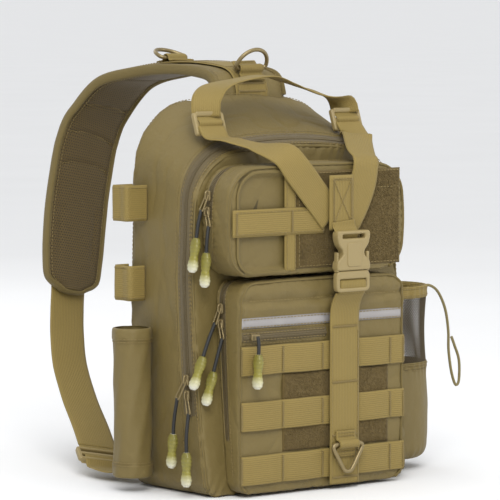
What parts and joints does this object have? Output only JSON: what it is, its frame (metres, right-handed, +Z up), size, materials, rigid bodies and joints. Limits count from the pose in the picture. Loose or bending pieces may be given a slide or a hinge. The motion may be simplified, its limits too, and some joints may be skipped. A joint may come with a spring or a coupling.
{
  "type": "fishing tackle sling bag",
  "caption": "Sling bag for fishing tackle with zipped front pockets, webbing rows, rod sleeve and loops, bottle pocket and a padded shoulder strap; free standing.",
  "frame": {"origin": "middle of the flat base of the main compartment, on the surface it stands on", "axes": "+X to the right of someone who faces the bag's front, front towards -Y, +Z up"},
  "size_m": [0.3658, 0.3458, 0.3736],
  "materials": {
    "khaki_cloth": "coated oxford weave",
    "webbing": "ribbed webbing",
    "loop_pile": "loop pile",
    "net": "open net",
    "zip_tape": "zipper tape and coil",
    "reflective": "satin retroreflective",
    "buckle_plastic": "fine texture",
    "ring_metal": "satin lacquer",
    "pull_rubber": "smooth",
    "elastic_cord": "braided"
  },
  "bodies": {
    "bag": {"main_shell": "khaki_cloth", "main_zip": "zip_tape", "lower_pocket": "khaki_cloth", "lower_zip": "zip_tape", "upper_pocket": "khaki_cloth", "upper_zip": "zip_tape", "loop_panel": "loop_pile", "tool_binding": "webbing", "tool_band_down": "webbing", "tool_band_across": "webbing", "pile_patch": "loop_pile", "molle_upper": "webbing", "molle_middle": "webbing", "molle_lower": "webbing", "reflective_strip": "reflective", "slot_zip": "zip_tape", "front_strap": "webbing", "strap_left": "webbing", "strap_right": "webbing", "strap_patch": "webbing", "buckle_female": "buckle_plastic", "buckle_male": "buckle_plastic", "lock_left": "buckle_plastic", "lock_right": "buckle_plastic", "handle_arch": "webbing", "sling_pad": "khaki_cloth", "sling_webbing": "webbing", "keeper_front": "webbing", "keeper_rear": "webbing", "sling_slider": "buckle_plastic", "anchor_webbing": "webbing", "rod_sleeve": "khaki_cloth", "rod_loop_upper": "webbing", "rod_loop_lower": "webbing", "side_pocket_mesh": "net", "side_pocket_hem": "webbing", "side_pocket_base": "khaki_cloth", "pocket_cord": "elastic_cord", "ring_keeper": "webbing", "slider_main_high": "ring_metal", "slider_main_low": "ring_metal", "slider_upper_high": "ring_metal", "slider_upper_low": "ring_metal", "slider_lower_high": "ring_metal", "slider_lower_low": "ring_metal", "slider_slot": "ring_metal", "pull_main_high": "pull_rubber", "pull_main_low": "pull_rubber", "pull_upper_high": "pull_rubber", "pull_upper_low": "pull_rubber", "pull_lower_high": "pull_rubber", "pull_lower_low": "pull_rubber", "pull_slot": "pull_rubber"},
    "d_ring_front": {"d_ring_front": "ring_metal"},
    "d_ring_rear": {"d_ring_rear": "ring_metal"},
    "tri_ring": {"tri_ring": "ring_metal"}
  },
  "joints": [
    {"name": "d_ring_front_swing", "type": "hinge", "parent": "bag", "child": "d_ring_front", "pos_m": [0.02404, 0.05297, 0.3553], "axis": [0.9999, 0.011, 0.012], "range_deg": [-60, 70]},
    {"name": "d_ring_rear_swing", "type": "hinge", "parent": "bag", "child": "d_ring_rear", "pos_m": [0.01286, 0.14809, 0.36321], "axis": [0.9794, 0.2011, -0.02], "range_deg": [-10, 110]},
    {"name": "tri_ring_swing", "type": "hinge", "parent": "bag", "child": "tri_ring", "pos_m": [0.01965, -0.0881, 0.0385], "axis": [-1, 0, 0], "range_deg": [0, 90]}
  ]
}
